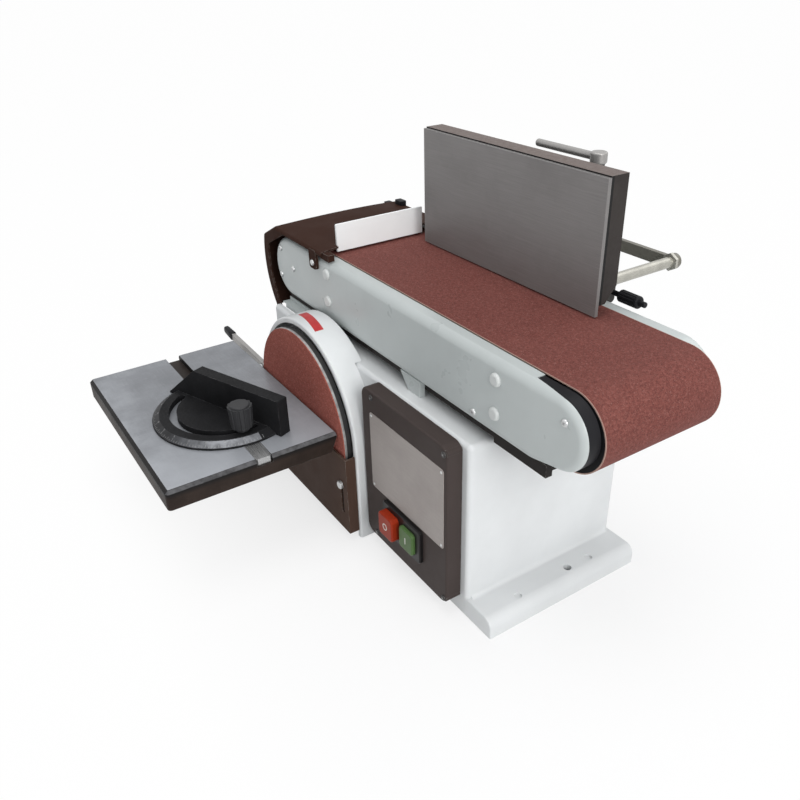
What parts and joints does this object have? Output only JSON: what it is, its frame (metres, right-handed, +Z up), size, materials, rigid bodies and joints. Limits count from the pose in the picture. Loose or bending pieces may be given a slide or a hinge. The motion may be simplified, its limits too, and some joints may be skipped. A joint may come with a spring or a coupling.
{
  "type": "combined belt and disc sander",
  "caption": "Bench sander with a tilting horizontal belt arm and fence over a cast base, and a disc with guard, tilting table and mitre gauge on the front.",
  "frame": {"origin": "centre of the base's underside", "axes": "+X along the belt to the idler end, +Y to the back, +Z up; the disc and switch face -Y"},
  "size_m": [0.7278, 0.5695, 0.475],
  "materials": {
    "white_paint": "smooth gloss enamel",
    "dark_paint": "satin dark brown enamel",
    "black_plastic": "moulded matte",
    "black_casting": "die cast, painted black",
    "charcoal": "painted charcoal",
    "steel": "ground",
    "fastener": "zinc plated",
    "aluminium": "machined",
    "grey_iron": "painted casting",
    "motor_paint": "dark grey enamel",
    "abrasive": "coated abrasive cloth",
    "belt_rubber": "matte",
    "red_plastic": "moulded gloss",
    "green_plastic": "moulded gloss"
  },
  "bodies": {
    "base": {"base_casting": "white_paint", "disc_guard": "white_paint", "m6_bolts": "fastener", "m4_screws": "fastener", "switch_box": "dark_paint", "switch_body": "black_plastic", "motor_end_bells": "aluminium", "motor_housing": "motor_paint", "motor_stator": "steel", "shaft_bearings": "steel", "run_capacitor": "aluminium", "pivot_pedestal": "grey_iron", "pulley_cover": "white_paint", "drive_belt": "belt_rubber", "dust_port": "black_plastic", "cable_gland": "black_plastic", "bracket_studs": "fastener"},
    "motor_rotor": {"motor_shaft": "steel", "rotor_core": "steel", "motor_fan": "black_plastic", "motor_pulley": "aluminium", "disc_plate": "aluminium", "abrasive_disc": "abrasive"},
    "drive_roller": {"drive_drum": "aluminium", "drive_shaft": "steel", "drum_pulley": "aluminium"},
    "belt_arm": {"arm_frame": "aluminium", "platen": "steel", "sanding_belt": "abrasive", "front_casing": "white_paint", "rear_casing": "white_paint", "nose_guard": "black_plastic", "casing_screws": "fastener", "small_screws": "fastener", "belt_hood": "dark_paint", "work_stop": "white_paint", "lower_belt_guard": "dark_paint", "fence_guide": "aluminium", "tracking_bracket": "black_casting"},
    "idler_carriage": {"idler_yoke": "steel", "tension_spring": "steel"},
    "idler_roller": {"idler_drum": "aluminium", "idler_bearings": "steel"},
    "tracking_screw": {"tracking_knob": "black_plastic"},
    "fence": {"fence_face": "steel", "fence_block": "charcoal", "fence_rods": "steel", "fence_tie_bar": "aluminium"},
    "fence_clamp": {"fence_clamp_lever": "steel"},
    "table_bracket": {"lower_guard": "dark_paint", "trunnion_cheeks": "dark_paint"},
    "table": {"work_table": "aluminium", "table_quadrants": "dark_paint"},
    "tilt_lock": {"tilt_lock_knob": "black_plastic"},
    "mitre_slide_bar": {"mitre_bar": "steel"},
    "mitre_protractor": {"mitre_head": "black_casting"},
    "mitre_clamp": {"mitre_knob": "black_plastic"},
    "table_clamp": {"table_clamp_lever": "steel"},
    "stop_key": {"stop_button": "red_plastic"},
    "start_key": {"start_button": "green_plastic"}
  },
  "joints": [
    {"name": "motor_spin", "type": "hinge", "parent": "base", "child": "motor_rotor", "pos_m": [-0.0834, 0, 0.133], "axis": [0, 1, 0], "continuous": true},
    {"name": "drive_drum_spin", "type": "hinge", "parent": "base", "child": "drive_roller", "pos_m": [-0.1556, 0, 0.2876], "axis": [0, 1, 0], "continuous": true},
    {"name": "arm_tilt", "type": "hinge", "parent": "base", "child": "belt_arm", "pos_m": [-0.1556, 0, 0.2876], "axis": [0, -1, 0], "range_deg": [0, 90]},
    {"name": "idler_tension", "type": "slide", "parent": "belt_arm", "child": "idler_carriage", "axis": [-1, 0, 0], "range_m": [0, 0.01], "stiffness_N_per_m": 6000, "springref_m": -0.02},
    {"name": "idler_drum_spin", "type": "hinge", "parent": "idler_carriage", "child": "idler_roller", "pos_m": [0.325, 0, 0.2876], "axis": [0, 1, 0], "continuous": true},
    {"name": "tracking_turn", "type": "hinge", "parent": "belt_arm", "child": "tracking_screw", "pos_m": [0.22, 0.106, 0.332], "axis": [1, 0, 0], "range_deg": [-180, 180]},
    {"name": "fence_slide", "type": "slide", "parent": "belt_arm", "child": "fence", "axis": [0, 1, 0], "range_m": [-0.08, 0.01]},
    {"name": "fence_clamp_swing", "type": "hinge", "parent": "belt_arm", "child": "fence_clamp", "pos_m": [0.156, 0.105, 0.469], "axis": [0, 0, -1], "range_deg": [0, 60]},
    {"name": "table_height", "type": "slide", "parent": "base", "child": "table_bracket", "axis": [0, 0, 1], "range_m": [0, 0.02]},
    {"name": "table_tilt", "type": "hinge", "parent": "table_bracket", "child": "table", "pos_m": [-0.14, -0.17, 0.134], "axis": [1, 0, 0], "range_deg": [0, 40]},
    {"name": "tilt_lock_turn", "type": "hinge", "parent": "table_bracket", "child": "tilt_lock", "pos_m": [-0.185, -0.20821, 0.09444], "axis": [1, 0, 0], "range_deg": [-90, 90]},
    {"name": "mitre_slide", "type": "slide", "parent": "table", "child": "mitre_slide_bar", "axis": [1, 0, 0], "range_m": [-0.1, 0.1]},
    {"name": "mitre_swivel", "type": "hinge", "parent": "mitre_slide_bar", "child": "mitre_protractor", "pos_m": [-0.109, -0.241, 0.155], "axis": [0, 0, 1], "range_deg": [-6, 32]},
    {"name": "mitre_knob_turn", "type": "hinge", "parent": "mitre_slide_bar", "child": "mitre_clamp", "pos_m": [-0.0423, -0.2473, 0.18], "axis": [0, 0, 1], "range_deg": [-180, 180]},
    {"name": "table_clamp_swing", "type": "hinge", "parent": "base", "child": "table_clamp", "pos_m": [-0.222, -0.14, 0.139], "axis": [0, 1, 0], "range_deg": [0, 35]},
    {"name": "stop_press", "type": "slide", "parent": "base", "child": "stop_key", "axis": [0, 1, 0], "range_m": [0, 0.003], "stiffness_N_per_m": 800, "springref_m": -0.001},
    {"name": "start_press", "type": "slide", "parent": "base", "child": "start_key", "axis": [0, 1, 0], "range_m": [0, 0.003], "stiffness_N_per_m": 800, "springref_m": -0.001}
  ],
  "couplings": [
    {"joint": "drive_drum_spin", "follows": "motor_spin", "ratio": 1.3333},
    {"joint": "idler_drum_spin", "follows": "motor_spin", "ratio": 1.3333}
  ]
}
